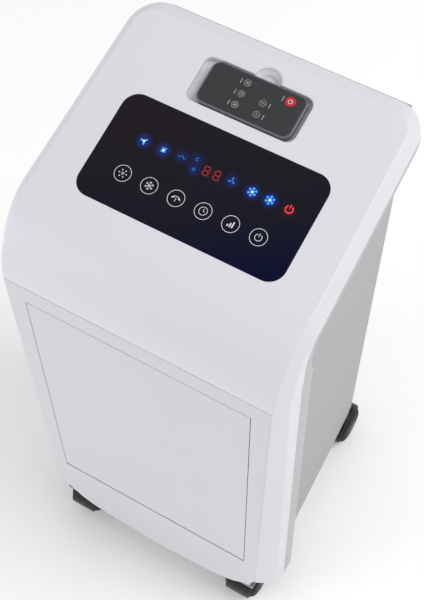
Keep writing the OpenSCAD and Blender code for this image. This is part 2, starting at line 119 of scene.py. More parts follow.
def fix_normals(ob):
    bm = bmesh.new(); bm.from_mesh(ob.data)
    bmesh.ops.remove_doubles(bm, verts=bm.verts, dist=1e-6)
    bmesh.ops.recalc_face_normals(bm, faces=bm.faces)
    bm.to_mesh(ob.data); bm.free()


def apply_mods(ob, angle=None):
    dg = bpy.context.evaluated_depsgraph_get()
    me = bpy.data.meshes.new_from_object(ob.evaluated_get(dg))
    ob.modifiers.clear()
    ob.data = me
    if angle is not None:
        sharp(ob, angle)
    return ob


def sharp(ob, angle):
    for p in ob.data.polygons:
        p.use_smooth = True
    ob.data.set_sharp_from_angle(angle=math.radians(angle))


def bevel(ob, width, segments=3, angle=30, weld=True):
    if weld:
        w = ob.modifiers.new("weld", "WELD"); w.merge_threshold = 2e-5
    b = ob.modifiers.new("bevel", "BEVEL")
    b.width = width / 1000; b.segments = segments
    b.limit_method = "ANGLE"; b.angle_limit = math.radians(angle)
    b.harden_normals = True
    b.use_clamp_overlap = True
    return b


def boolean(ob, cutter, op="DIFFERENCE"):
    m = ob.modifiers.new("bool", "BOOLEAN")
    m.operation = op; m.object = cutter; m.solver = "EXACT"
    apply_mods(ob)
    bpy.data.objects.remove(cutter, do_unlink=True)


def rrect(w, h, r, n=10, cx=0.0, cy=0.0):
    """rounded rectangle, counter-clockwise"""
    pts = []
    for (sx, sy, a0) in ((1, -1, -90), (1, 1, 0), (-1, 1, 90), (-1, -1, 180)):
        for i in range(n + 1):
            a = math.radians(a0 + 90 * i / n)
            pts.append((cx + sx * (w / 2 - r) + r * math.cos(a), cy + sy * (h / 2 - r) + r * math.sin(a)))
    return pts


def circle_pts(r, n=48, cx=0.0, cy=0.0, a0=0.0):
    return [(cx + r * math.cos(a0 + 2 * math.pi * i / n), cy + r * math.sin(a0 + 2 * math.pi * i / n)) for i in range(n)]


def offset_loop(pts, d):
    """moves a closed counter-clockwise loop inward by d (small next to its curves)"""
    n = len(pts); out = []
    for i in range(n):
        (x0, y0), (x1, y1), (x2, y2) = pts[i - 1], pts[i], pts[(i + 1) % n]
        ax, ay, bx, by = x1 - x0, y1 - y0, x2 - x1, y2 - y1
        la, lb = math.hypot(ax, ay) or 1e-9, math.hypot(bx, by) or 1e-9
        nx, ny = -(ay / la + by / lb), (ax / la + bx / lb)
        l = math.hypot(nx, ny) or 1e-9
        k = max(0.5, 0.5 * l)
        out.append((x1 + nx / l * d / k, y1 + ny / l * d / k))
    return out


def prism(name, loops, tf, cap_first=True, cap_last=True):
    """stack of loops [(pts, height), ...] with the same count -> closed solid through tf(u, v, h)"""
    verts, faces = [], []
    n = len(loops[0][0])
    for pts, h in loops:
        verts += [tf(p[0], p[1], h) for p in pts]
    for k in range(len(loops) - 1):
        for i in range(n):
            a, b = k * n + i, k * n + (i + 1) % n
            faces.append((a, b, b + n, a + n))
    if cap_first:
        faces.append(tuple(reversed(range(n))))
    if cap_last:
        faces.append(tuple(range((len(loops) - 1) * n, len(loops) * n)))
    ob = new_obj(name, verts, faces)
    fix_normals(ob)
    return ob


def slab(name, pts, h0, h1, edge, tf, seg=4, bottom_edge=None):
    """plate with rounded upper edge (and lower edge if asked)"""
    loops = []
    if bottom_edge:
        for i in range(seg + 1):
            a = math.pi / 2 * i / seg
            loops.append((offset_loop(pts, bottom_edge * (1 - math.sin(a))), h0 + bottom_edge * (1 - math.cos(a))))
    else:
        loops.append((pts, h0))
    for i in range(seg + 1):
        a = math.pi / 2 * i / seg
        loops.append((offset_loop(pts, edge * (1 - math.cos(a))), h1 - edge * (1 - math.sin(a))))
    return prism(name, loops, tf)


def revolve(name, prof, tf, n=48, closed=True):
    """prof: [(r, a)] profile about the axis; tf(x, y, a) -> point"""
    verts, faces = [], []
    m = len(prof)
    for i in range(n):
        t = 2 * math.pi * i / n
        for r, a in prof:
            verts.append(tf(r * math.cos(t), r * math.sin(t), a))
    for i in range(n):
        for j in range(m if closed else m - 1):
            a, b = i * m + j, i * m + (j + 1) % m
            c, d = ((i + 1) % n) * m + j, ((i + 1) % n) * m + (j + 1) % m
            faces.append((a, b, d, c))
    ob = new_obj(name, verts, faces)
    fix_normals(ob)
    return ob


def join(obs, name):
    bm = bmesh.new()
    for o in obs:
        bm.from_mesh(o.data)
    me = bpy.data.meshes.new(name)
    bm.to_mesh(me); bm.free()
    for o in obs:
        bpy.data.objects.remove(o, do_unlink=True)
    ob = bpy.data.objects.new(name, me)
    scene.collection.objects.link(ob)
    return ob


def put(ob, body, mat, *nodes, slot=None, angle=35, weighted=False):
    ob.data.materials.clear(); ob.data.materials.append(mat)
    if angle:
        sharp(ob, angle)
    if weighted:
        wm = ob.modifiers.new("weighted", "WEIGHTED_NORMAL"); wm.keep_sharp = True; wm.weight = 60
    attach(ob, body)
    if nodes:
        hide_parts(*nodes)
    return ob


# ------------------------------------------------------------------ materials
def srgb(r, g, b):
    f = lambda c: (c / 255 / 12.92) if c / 255 <= 0.04045 else ((c / 255 + 0.055) / 1.055) ** 2.4
    return (f(r), f(g), f(b), 1.0)


def material(name, base, rough=0.4, spec=0.5, metallic=0.0, var=0.03, var_scale=6.0, grain=900.0, grain_str=0.02,
             rough_var=0.05, coat=0.0, coat_rough=0.1, transmission=0.0, alpha=1.0, ior=1.47, wave=None, dirt=0.0):
    """moulded-plastic style material: slight tone drift, fine surface grain, roughness variation"""
    m = bpy.data.materials.new(name); m.use_nodes = True
    nt = m.node_tree; N = nt.nodes; L = nt.links
    bs = N["Principled BSDF"]
    bs.inputs["Metallic"].default_value = metallic
    bs.inputs["IOR"].default_value = ior
    bs.inputs["Specular IOR Level"].default_value = spec
    bs.inputs["Coat Weight"].default_value = coat
    bs.inputs["Coat Roughness"].default_value = coat_rough
    bs.inputs["Transmission Weight"].default_value = transmission
    bs.inputs["Alpha"].default_value = alpha
    tc = N.new("ShaderNodeTexCoord")
    n1 = N.new("ShaderNodeTexNoise"); n1.inputs["Scale"].default_value = var_scale; n1.inputs["Detail"].default_value = 4
    L.new(tc.outputs["Object"], n1.inputs["Vector"])
    ramp = N.new("ShaderNodeValToRGB")
    lo = tuple(max(0, c * (1 - var)) for c in base[:3]) + (1,)
    hi = tuple(min(1, c * (1 + var)) for c in base[:3]) + (1,)
    ramp.color_ramp.elements[0].position = 0.3; ramp.color_ramp.elements[0].color = lo
    ramp.color_ramp.elements[1].position = 0.7; ramp.color_ramp.elements[1].color = hi
    L.new(n1.outputs["Fac"], ramp.inputs["Fac"])
    L.new(ramp.outputs["Color"], bs.inputs["Base Color"])
    n2 = N.new("ShaderNodeTexNoise"); n2.inputs["Scale"].default_value = grain; n2.inputs["Detail"].default_value = 2
    L.new(tc.outputs["Object"], n2.inputs["Vector"])
    n3 = N.new("ShaderNodeTexNoise"); n3.inputs["Scale"].default_value = 35; n3.inputs["Detail"].default_value = 5
    L.new(tc.outputs["Object"], n3.inputs["Vector"])
    mr = N.new("ShaderNodeMapRange")
    mr.inputs["To Min"].default_value = max(0.02, rough - rough_var); mr.inputs["To Max"].default_value = min(1, rough + rough_var)
    L.new(n3.outputs["Fac"], mr.inputs["Value"]); L.new(mr.outputs["Result"], bs.inputs["Roughness"])
    bump = N.new("ShaderNodeBump"); bump.inputs["Strength"].default_value = grain_str; bump.inputs["Distance"].default_value = 0.0002
    L.new(n2.outputs["Fac"], bump.inputs["Height"])
    L.new(bump.outputs["Normal"], bs.inputs["Normal"])
    m["n_bump"] = bump.name
    return m


M_WHITE = material("shell_white", srgb(220, 219, 226), rough=0.38, spec=0.45, var=0.008, grain=1500, grain_str=0.05, rough_var=0.03)
# door and front panel: the shell's white plastic set darker and slightly pinker, painted shade for the front faces
M_DOOR_PAINTED_SHADE = material("door_white_painted_shade", srgb(210, 207, 213), rough=0.40, spec=0.45, var=0.008, grain=1500, grain_str=0.05, rough_var=0.03)
# body_grey_painted_shade and rim_grey are one grey plastic: body_grey_painted_shade is set darker than rim_grey,
# painted shade from the rim's step
M_GREY_PAINTED_SHADE = material("body_grey_painted_shade", srgb(166, 166, 167), rough=0.5, spec=0.4, var=0.012, grain=1300, grain_str=0.08, rough_var=0.04)
M_RIMGREY = material("rim_grey", srgb(184, 184, 186), rough=0.5, spec=0.4, var=0.012, grain=1300, grain_str=0.08, rough_var=0.04)
M_BASE = material("base_grey", srgb(150, 150, 152), rough=0.6, var=0.03)
M_DUCT = material("duct_grey", srgb(170, 170, 173), rough=0.55, var=0.02)
M_TRIM = material("trim_white", srgb(228, 228, 232), rough=0.42, var=0.015)
M_BLACK = material("moulded_black", srgb(38, 38, 42), rough=0.42, spec=0.5, var=0.10, grain=900, grain_str=0.15, rough_var=0.08)
M_CASTER = material("caster_black", srgb(20, 20, 24), rough=0.30, spec=0.32, var=0.10, grain=1100, grain_str=0.08, rough_var=0.06)
M_TREAD = material("caster_tread", srgb(34, 34, 36), rough=0.62, spec=0.35, var=0.12, grain=700, grain_str=0.3, rough_var=0.1)
M_STEEL = material("bright_steel", (0.62, 0.62, 0.64, 1), rough=0.3, metallic=1.0, var=0.05, grain=400, grain_str=0.05, rough_var=0.1)
M_MOTOR = material("motor_zinc", (0.55, 0.56, 0.58, 1), rough=0.42, metallic=1.0, var=0.08, grain=300, grain_str=0.12, rough_var=0.12)
M_BRONZE = material("bush_bronze", (0.55, 0.36, 0.16, 1), rough=0.4, metallic=1.0, var=0.1, grain=900, grain_str=0.1)
M_HOSE = material("hose_milky", srgb(214, 216, 210), rough=0.35, var=0.03, grain=500, grain_str=0.1)
M_TANK = material("tank_frosted", srgb(205, 214, 220), rough=0.34, var=0.02, grain=700, grain_str=0.12, transmission=0.25)
M_REMOTE = material("remote_black", srgb(46, 47, 49), rough=0.42, spec=0.45, var=0.05, grain=1800, grain_str=0.12, rough_var=0.05)
M_RIM = material("remote_rim", srgb(96, 98, 106), rough=0.25, spec=0.6, var=0.04, grain=1500, grain_str=0.05)
M_KEY = material("key_grey", srgb(52, 53, 56), rough=0.5, var=0.06, grain=1500, grain_str=0.1)
M_RED = material("key_red", srgb(186, 34, 40), rough=0.35, spec=0.5, var=0.06, grain=1200, grain_str=0.08)
M_INK = material("ink_white", srgb(226, 226, 230), rough=0.6, spec=0.2, var=0.02, grain=2500, grain_str=0.02)
M_INK2 = material("ink_grey", srgb(176, 177, 180), rough=0.6, spec=0.2, var=0.03, grain=2500, grain_str=0.02)

# ------------------------------------------------------------------ shell
def outline_stations():
    st = []
    n1, n2, n3, n4 = 12, 30, 12, 14
    for i in range(n1):
        s = FRONT_LEN * i / n1; st.append((face_w(s), s, 1.0, 0.0))
    for i in range(n2 + 1):
        s = FRONT_LEN + BEND_LEN * i / n2; st.append((face_w(s), s, 1.0, 0.0))
    sc = S_END - CORNER_R
    a0 = FRONT_LEN + BEND_LEN
    for i in range(1, n3):
        s = a0 + (sc - a0) * i / n3; st.append((face_w(s), s, 1.0, 0.0))
    for i in range(n4 + 1):
        a = math.pi / 2 * i / n4
        st.append((face_w(sc) - CORNER_R + CORNER_R * math.cos(a), sc + CORNER_R * math.sin(a), math.cos(a), math.sin(a)))
    return st


def fillet(poly, radii, n=5):
    """poly: control points (o, d); radii: tangent length at each inner point"""
    out = [poly[0]]
    for k in range(1, len(poly) - 1):
        p0, p, p1 = Vector(poly[k - 1]), Vector(poly[k]), Vector(poly[k + 1])
        t = radii[k - 1]
        t = min(t, (p - p0).length * 0.45, (p1 - p).length * 0.45)
        a = p + (p0 - p).normalized() * t
        b = p + (p1 - p).normalized() * t
        for i in range(n + 1):
            f = i / n
            out.append(tuple((1 - f) ** 2 * a + 2 * f * (1 - f) * p + f * f * b))
    out.append(poly[-1])
    return out


PANEL_HW0, PANEL_HW1 = 121.4, FACE_HW - 1.6
BACK = 12.5


def low(s):
    return 1 - s / FRONT_LEN if s < FRONT_LEN else 0.0


def band(s):
    """depths of edge, shoulder and rim end, and the outward reach of edge and shoulder"""
    f, l = frontness(s), low(s)
    oe = 8 + 0.6 * f + 5.6 * l ** 1.1
    return 8 + 7 * f + 7 * l, 10 + 21 * f + 6 * l, 18.5 + 30 * f + 4 * l, oe, 0.7 + 0.1 * f


def sweep(name, section, mid_face, NX=28):
    """runs a section (list of (o, d) for a station) round the outline, both sides and across the back"""
    rows = []
    for (w, s, nu, ns) in outline_stations():
        de, ds, dn, oe, os_ = band(s)
        pts = []
        for (o, d) in section(w, s):
            ob = o if o < 0 else (o * BACK / oe if o <= oe else BACK + (o - oe))
            ss = s + ns * ob
            if s < FRONT_LEN + 1e-6:
                lift = 39.5 * min(1.0, max(0.0, 1 - o / oe))
                ss = lift + s * (FRONT_LEN - lift) / FRONT_LEN
            y, z = path(ss, d)
            pts.append((w + nu * o, y, z))
        rows.append((pts, s))
    m = len(rows[0][0])
    verts, faces = [], []
    R, Lf = [], []
    for pts, s in rows:
        R.append([len(verts) + k for k in range(m)]); verts += [mm(*p) for p in pts]
        Lf.append([len(verts) + k for k in range(m)]); verts += [mm(-p[0], p[1], p[2]) for p in pts]
    n = len(rows)
    for i in range(n - 1):
        for k in range(m - 1):
            faces.append((R[i][k], R[i][k + 1], R[i + 1][k + 1], R[i + 1][k]))
            faces.append((Lf[i][k], Lf[i + 1][k], Lf[i + 1][k + 1], Lf[i][k + 1]))

    def strip(a, b):
        """NX - 1 points between two vertices"""
        out = [a]
        for q in range(1, NX):
            verts.append(Vector(verts[a]).lerp(Vector(verts[b]), q / NX)); out.append(len(verts) - 1)
        return out + [b]
    if mid_face:
        prev = None
        for i in range(n):
            if rows[i][1] < FRONT_LEN - 1e-6:
                continue
            cur = strip(Lf[i][0], R[i][0])
            if prev:
                for q in range(NX):
                    faces.append((prev[q], prev[q + 1], cur[q + 1], cur[q]))
            prev = cur
        start = prev
    else:
        start = strip(Lf[n - 1][0], R[n - 1][0])
    prev = start
    for k in range(1, m):
        cur = strip(Lf[n - 1][k], R[n - 1][k])
        for q in range(NX):
            faces.append((prev[q], prev[q + 1], cur[q + 1], cur[q]))
        prev = cur
    ob = new_obj(name, verts, faces)
    bm = bmesh.new(); bm.from_mesh(ob.data)
    bmesh.ops.remove_doubles(bm, verts=bm.verts, dist=1e-7)
    bmesh.ops.recalc_face_normals(bm, faces=bm.faces)
    bm.normal_update()
    right = max(bm.faces, key=lambda f: f.calc_center_median().x)
    if right.normal.x < 0:
        bmesh.ops.reverse_faces(bm, faces=bm.faces)
    bm.to_mesh(ob.data); bm.free()
    return ob


def shell_section(w, s):
    de, ds, dn, oe, os_ = band(s)
    if s < FRONT_LEN + 1e-6:
        px = PANEL_HW0 + (PANEL_HW1 - PANEL_HW0) * s / FRONT_LEN + 0.12
        p0 = px - w
    else:
        f = min(1.0, (s - FRONT_LEN) / 14.0)
        p0 = -0.2 - 4.8 * f * f * (3 - 2 * f)
    fr = frontness(s)
    tc = min(1.3, -p0 * 0.8)
    return fillet([(p0, 0), (0, 0), (oe, de), (oe + os_, ds), (oe + os_ - 0.9, ds + 0.3)], [tc, 1.6 + 0.9 * fr, 0.5], 5)


def rim_section(w, s):
    de, ds, dn, oe, os_ = band(s)
    o = oe + os_
    return fillet([(o - 1.6, ds + 0.35), (o - 0.15, ds + 0.45), (o + 0.15, dn), (o - 2.2, dn + 0.1)], [0.4, 1.6], 4)


def build_shell():
    ob = sweep("shell", shell_section, True)
    so = ob.modifiers.new("solid", "SOLIDIFY")
    so.thickness = 0.0022; so.offset = -1.0; so.use_even_offset = True; so.use_rim = True
    apply_mods(ob)
    return ob


# the recess for the remote, with its finger scoop: one family of outlines
REC_W, REC_H, REC_R, REC_CX = 100.6, 44.6, 9.0, -2.5
SC_U, SC_V, SC_R = 3.0, 20.0, 13.8


def recess_outline(e, rd, n=10, na=24, nt=6):
    w, h, r = REC_W / 2 - e, REC_H / 2 - e, max(0.8, REC_R - e)
    pts = []
    def arc(cx, cy, a0):
        for i in range(n + 1):
            a = math.radians(a0 + 90 * i / n)
            pts.append((cx + r * math.cos(a), cy + r * math.sin(a)))
    arc(REC_CX + w - r, -h + r, -90)
    arc(REC_CX + w - r, h - r, 0)
    dv = h - SC_V
    dx = math.sqrt(max(0.01, rd * rd - dv * dv))
    x0, x1 = REC_CX + w - r, SC_U + dx
    for i in range(1, nt):
        pts.append((x0 + (x1 - x0) * i / nt, h))
    a0 = math.atan2(dv, dx); a1 = math.pi - a0
    for i in range(na + 1):
        a = a0 + (a1 - a0) * i / na
        pts.append((SC_U + rd * math.cos(a), SC_V + rd * math.sin(a)))
    x0, x1 = SC_U - dx, REC_CX - w + r
    for i in range(1, nt):
        pts.append((x0 + (x1 - x0) * i / nt, h))
    arc(REC_CX - w + r, h - r, 90)
    arc(REC_CX - w + r, -h + r, 180)
    return pts


tf_slope = lambda u, v, h: on_slope(u, v, h)
tf_rem = lambda u, v, h: on_slope(u, v + REM_V, h)

shell = build_shell()
cut = prism("cut", [(rrect(185.6, 96.6, 14.3, 12), -5), (rrect(185.6, 96.6, 14.3, 12), 4)], tf_slope)
boolean(shell, cut)
cut = prism("cut", [(recess_outline(0, SC_R), -5), (recess_outline(0, SC_R), 4)], tf_rem)
boolean(shell, cut)
put(shell, "cabinet", M_WHITE, "top_front_shell", slot="white_shell", angle=32, weighted=True)
rim = sweep("body_rim_skin", rim_section, False)
so = rim.modifiers.new("solid", "SOLIDIFY")
so.thickness = 0.0016; so.offset = -1.0; so.use_rim = True
apply_mods(rim)
shell.name = "top_front_shell_skin"
if "body_rim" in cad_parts:
    put(rim, "cabinet", M_RIMGREY, "body_rim", slot="grey_body", angle=32)
else:
    put(rim, "cabinet", M_RIMGREY, slot="grey_body", angle=32)

loops = [(recess_outline(0.05, SC_R - 0.05), -8.2), (recess_outline(0.05, SC_R - 0.05), -0.4), (recess_outline(0, SC_R), 0)]
FR = 1.5
for i in range(1, 9):
    t = math.pi / 2 * i / 8
    loops.append((recess_outline(FR * math.sin(t), SC_R - 3.2 * math.sin(t) * 0.7), -FR * (1 - math.cos(t))))
for i in range(1, 8):
    f = i / 7
    loops.append((recess_outline(FR + 0.05 * f, SC_R - 2.24 - 4.5 * f ** 1.6), -FR - 3.7 * f))
for i in range(1, 5):
    t = math.pi / 2 * i / 4
    loops.append((recess_outline(FR + 0.05 + 0.8 * (1 - math.cos(t)), SC_R - 6.74 - 1.6 * (1 - math.cos(t))), -FR - 3.7 - 0.8 * math.sin(t)))
tray = prism("remote_recess", loops, tf_rem)
put(tray, "cabinet", M_WHITE, "remote_tray", slot="white_shell", angle=50)

# ------------------------------------------------------------------ touch panel
LEDS = [(-59.6, 12.6, 1.0, "b"), (-41.5, 12.4, 1.0, "b"), (-25.4, 13.9, 0.45, "b"), (-13.1, 17.3, 0.35, "b"), (-12.0, 8.5, 0.45, "b"),
        (2.5, 11.7, 0.25, "r"), (19.9, 13.2, 0.5, "b"), (38.5, 11.9, 1.15, "b"), (54.0, 11.8, 1.15, "b"), (70.9, 10.3, 0.9, "r")]


def glass_material():
    m = bpy.data.materials.new("touch_glass"); m.use_nodes = True
    nt = m.node_tree; N = nt.nodes; L = nt.links
    bs = N["Principled BSDF"]
    bs.inputs["IOR"].default_value = 1.5
    bs.inputs["Specular IOR Level"].default_value = 0.10
    bs.inputs["Emission Strength"].default_value = 1.0
    tc = N.new("ShaderNodeTexCoord")
    # slope coordinates in mm, from object coordinates
    mp = N.new("ShaderNodeMapping"); mp.vector_type = "POINT"
    L.new(tc.outputs["Object"], mp.inputs["Vector"])
    c = on_slope(0, 0, 0)
    sub = N.new("ShaderNodeVectorMath"); sub.operation = "SUBTRACT"
    L.new(mp.outputs["Vector"], sub.inputs[0]); sub.inputs[1].default_value = tuple(c)
    du = N.new("ShaderNodeVectorMath"); du.operation = "DOT_PRODUCT"
    L.new(sub.outputs["Vector"], du.inputs[0]); du.inputs[1].default_value = (1000, 0, 0)
    dv = N.new("ShaderNodeVectorMath"); dv.operation = "DOT_PRODUCT"
    L.new(sub.outputs["Vector"], dv.inputs[0]); dv.inputs[1].default_value = (0, 1000 * CA, 1000 * SA)
    uv = N.new("ShaderNodeCombineXYZ")
    L.new(du.outputs["Value"], uv.inputs["X"]); L.new(dv.outputs["Value"], uv.inputs["Y"])
    # tone: neutral black at the top left, deep navy towards the lower right
    lin = N.new("ShaderNodeVectorMath"); lin.operation = "DOT_PRODUCT"
    L.new(uv.outputs["Vector"], lin.inputs[0]); lin.inputs[1].default_value = (0.0045, -0.0085, 0)
    mr = N.new("ShaderNodeMapRange"); mr.inputs["From Min"].default_value = -0.35; mr.inputs["From Max"].default_value = 0.72
    L.new(lin.outputs["Value"], mr.inputs["Value"])
    ramp = N.new("ShaderNodeValToRGB")
    e = ramp.color_ramp.elements
    e[0].position = 0.0; e[0].color = srgb(31, 26, 34)
    e[1].position = 1.0; e[1].color = srgb(2, 8, 46)
    k = e.new(0.55); k.color = srgb(24, 24, 36)
    L.new(mr.outputs["Result"], ramp.inputs["Fac"])
    ns = N.new("ShaderNodeTexNoise"); ns.inputs["Scale"].default_value = 9; ns.inputs["Detail"].default_value = 3
    L.new(tc.outputs["Object"], ns.inputs["Vector"])
    mix = N.new("ShaderNodeMix"); mix.data_type = "RGBA"; mix.blend_type = "MULTIPLY"; mix.inputs["Factor"].default_value = 0.25
    L.new(ramp.outputs["Color"], mix.inputs[6]); L.new(ns.outputs["Color"], mix.inputs[7])
    L.new(mix.outputs[2], bs.inputs["Base Color"])
    r2 = N.new("ShaderNodeMapRange"); r2.inputs["To Min"].default_value = 0.16; r2.inputs["To Max"].default_value = 0.24
    L.new(ns.outputs["Fac"], r2.inputs["Value"]); L.new(r2.outputs["Result"], bs.inputs["Roughness"])
    # soft glow of the lamps through the smoked glass
    total = None
    for (u, v, p, col) in LEDS:
        d = N.new("ShaderNodeVectorMath"); d.operation = "DISTANCE"
        L.new(uv.outputs["Vector"], d.inputs[0]); d.inputs[1].default_value = (u, v, 0)
        g = N.new("ShaderNodeMapRange"); g.interpolation_type = "SMOOTHERSTEP"
        rad = 9.5 if col == "b" else 8.0
        g.inputs["From Min"].default_value = rad; g.inputs["From Max"].default_value = 0.0
        L.new(d.outputs["Value"], g.inputs["Value"])
        sc = N.new("ShaderNodeVectorMath"); sc.operation = "SCALE"
        sc.inputs[0].default_value = (0.002 * p, 0.020 * p, 0.17 * p) if col == "b" else (0.060 * p, 0.002 * p, 0.003 * p)
        L.new(g.outputs["Result"], sc.inputs["Scale"])
        if total is None:
            total = sc
        else:
            ad = N.new("ShaderNodeVectorMath"); ad.operation = "ADD"
            L.new(total.outputs["Vector"], ad.inputs[0]); L.new(sc.outputs["Vector"], ad.inputs[1]); total = ad
    L.new(total.outputs["Vector"], bs.inputs["Emission Color"])
    return m


def lamp(name, col, power):
    m = bpy.data.materials.new(name); m.use_nodes = True
    nt = m.node_tree; N = nt.nodes; L = nt.links; bs = N["Principled BSDF"]
    bs.inputs["Roughness"].default_value = 0.4
    tc = N.new("ShaderNodeTexCoord"); n1 = N.new("ShaderNodeTexNoise"); n1.inputs["Scale"].default_value = 600
    L.new(tc.outputs["Object"], n1.inputs["Vector"])
    rp = N.new("ShaderNodeValToRGB")
    rp.color_ramp.elements[0].position = 0.3; rp.color_ramp.elements[1].position = 0.7
    rp.color_ramp.elements[0].color = tuple(c * 0.8 for c in col[:3]) + (1,); rp.color_ramp.elements[1].color = tuple(col[:3]) + (1,)
    L.new(n1.outputs["Fac"], rp.inputs["Fac"])
    L.new(rp.outputs["Color"], bs.inputs["Base Color"]); L.new(rp.outputs["Color"], bs.inputs["Emission Color"])
    bs.inputs["Emission Strength"].default_value = power
    return m


M_GLASS = glass_material()
M_BLUE = lamp("lamp_blue", (0.03, 0.25, 1.0), 1.5)
M_BLUEDIM = lamp("lamp_blue_dim", (0.02, 0.14, 0.6), 0.7)
M_WHITEHOT = lamp("lamp_blue_core", (0.35, 0.7, 1.0), 2.2)
M_REDL = lamp("lamp_red", (1.0, 0.03, 0.05), 1.0)
M_REDDIM = lamp("lamp_red_dim", (0.35, 0.01, 0.015), 0.35)

glass = slab("touch_panel", rrect(184.8, 95.8, 14.0, 14), -2.8, 0.15, 0.45, tf_slope, 4)
put(glass, "cabinet", M_GLASS, "display_glass", slot="display_black", angle=50)


class Ink:
    """collects thin flat strokes on a plane into one closed mesh"""
    def __init__(self, tf, h0, h1):
        self.tf, self.h0, self.h1 = tf, h0, h1
        self.v, self.f = [], []

    def poly(self, pts):
        n = len(pts); b = len(self.v)
        self.v += [self.tf(x, y, self.h0) for x, y in pts] + [self.tf(x, y, self.h1) for x, y in pts]
        self.f.append(tuple(b + n + i for i in range(n)))
        self.f.append(tuple(b + i for i in reversed(range(n))))
        for i in range(n):
            j = (i + 1) % n
            self.f.append((b + i, b + j, b + n + j, b + n + i))

    def ring(self, cx, cy, r0, r1, a0=0.0, a1=360.0, n=48):
        full = abs(a1 - a0) >= 359.9
        k = n if full else max(4, int(n * abs(a1 - a0) / 360))
        for i in range(k):
            p, q = (math.radians(a0 + (a1 - a0) * t / k) for t in (i, i + 1))
            # quads share their sides, so the ring is drawn as one band
            self._band(cx, cy, r0, r1, p, q, first=(i == 0 and not full), last=(i == k - 1 and not full))

    def _band(self, cx, cy, r0, r1, p, q, first, last):
        b = len(self.v)
        P = [(cx + r0 * math.cos(p), cy + r0 * math.sin(p)), (cx + r1 * math.cos(p), cy + r1 * math.sin(p)),
             (cx + r1 * math.cos(q), cy + r1 * math.sin(q)), (cx + r0 * math.cos(q), cy + r0 * math.sin(q))]
        self.v += [self.tf(x, y, self.h0) for x, y in P] + [self.tf(x, y, self.h1) for x, y in P]
        self.f += [(b + 4, b + 5, b + 6, b + 7), (b + 3, b + 2, b + 1, b), (b + 1, b + 2, b + 6, b + 5), (b + 3, b, b + 4, b + 7)]
        if first: self.f.append((b, b + 1, b + 5, b + 4))
        if last: self.f.append((b + 2, b + 3, b + 7, b + 6))

    def line(self, x0, y0, x1, y1, w):
        dx, dy = x1 - x0, y1 - y0; l = math.hypot(dx, dy) or 1e-9
        nx, ny = -dy / l * w / 2, dx / l * w / 2
        self.poly([(x0 - nx, y0 - ny), (x1 - nx, y1 - ny), (x1 + nx, y1 + ny), (x0 + nx, y0 + ny)])

    def disc(self, cx, cy, r, n=20):
        self.poly(circle_pts(r, n, cx, cy))

    def make(self, name, body, mat):
        ob = new_obj(name, self.v, self.f, smooth=False)
        fix_normals(ob)
        ob.data.materials.append(mat)
        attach(ob, body)
        return ob


def fan_icon(k, x, y, r, blades=3, lw=0.4, turn=20):
    k.disc(x, y, r * 0.16, 12)
    for b in range(blades):
        a = math.radians(turn + 360 / blades * b)
        pts = []
        for i in range(9):
            t = i / 8
            rr = r * (0.2 + 0.8 * math.sin(math.pi * min(1, t * 1.0) / 2))
            aa = a + (0.55 * t)
            pts.append((x + rr * math.cos(aa), y + rr * math.sin(aa)))
        for i in range(8, -1, -1):
            t = i / 8
            rr = r * (0.2 + 0.8 * t ** 1.6)
            aa = a + 0.55 * t + 0.55 * math.sin(math.pi * t) + 0.1 * (1 - t)
            pts.append((x + rr * math.cos(aa), y + rr * math.sin(aa)))
        k.poly(pts[:9] + pts[9:-1])


def snow_icon(k, x, y, r, lw):
    for i in range(3):
        a = math.radians(60 * i + 30)
        c, s = math.cos(a), math.sin(a)
        k.line(x - r * c, y - r * s, x + r * c, y + r * s, lw)
        for g in (-1, 1):
            px, py = x + g * r * 0.62 * c, y + g * r * 0.62 * s
            for t in (-1, 1):
                b = a + (0 if g > 0 else math.pi) + t * math.radians(45)
                k.line(px, py, px + r * 0.34 * math.cos(b), py + r * 0.34 * math.sin(b), lw)


def power_icon(k, x, y, r, lw):
    k.ring(x, y, r - lw, r, 120, 420, 36)
    k.line(x, y + r * 0.15, x, y + r * 1.15, lw)


def clock_icon(k, x, y, r, lw):
    k.ring(x, y, r - lw, r)
    k.line(x, y, x, y + r * 0.6, lw)
    k.line(x, y, x + r * 0.45, y - r * 0.15, lw)


def swing_icon(k, x, y, r, lw):
    k.ring(x, y - r * 0.5, r * 1.0 - lw, r * 1.0, 35, 145, 40)
    for g in (-1, 1):
        ax, ay = x + g * r * 0.82, y - r * 0.5 + r * 0.57
        k.poly([(ax - g * 0.25 * r, ay + 0.36 * r), (ax + g * 0.30 * r, ay - 0.30 * r), (ax - g * 0.42 * r, ay - 0.08 * r)][::g])
    k.line(x, y - r * 0.75, x, y + r * 0.15, lw)


def ion_icon(k, x, y, r, lw):
    k.ring(x, y, r * 0.30 - lw, r * 0.30, n=20)
    for i in range(6):
        a = math.radians(60 * i)
        k.disc(x + r * 0.8 * math.cos(a), y + r * 0.8 * math.sin(a), r * 0.14, 10)


def speed_icon(k, x, y, r, lw):
    for i, hgt in enumerate((0.5, 0.95, 1.4)):
        xx = x + (i - 1) * r * 0.55
        k.line(xx, y - r * 0.7, xx, y - r * 0.7 + r * hgt, r * 0.3)


marks = Ink(tf_slope, 0.14, 0.18)
LW = 0.42
for i in range(6):
    marks.ring(-60.75 + 24.3 * i, -18.8, 7.2 - 0.42, 7.2, n=64)
x = lambda i: -60.75 + 24.3 * i
ion_icon(marks, x(0), -18.8, 3.9, LW)
snow_icon(marks, x(1), -18.8, 3.7, LW)
swing_icon(marks, x(2), -18.8, 3.9, LW)
clock_icon(marks, x(3), -18.8, 3.6, LW)
speed_icon(marks, x(4), -18.8, 3.7, LW)
power_icon(marks, x(5), -19.1, 3.1, 0.5)
marks.make("touch_marks", "cabinet", M_INK)

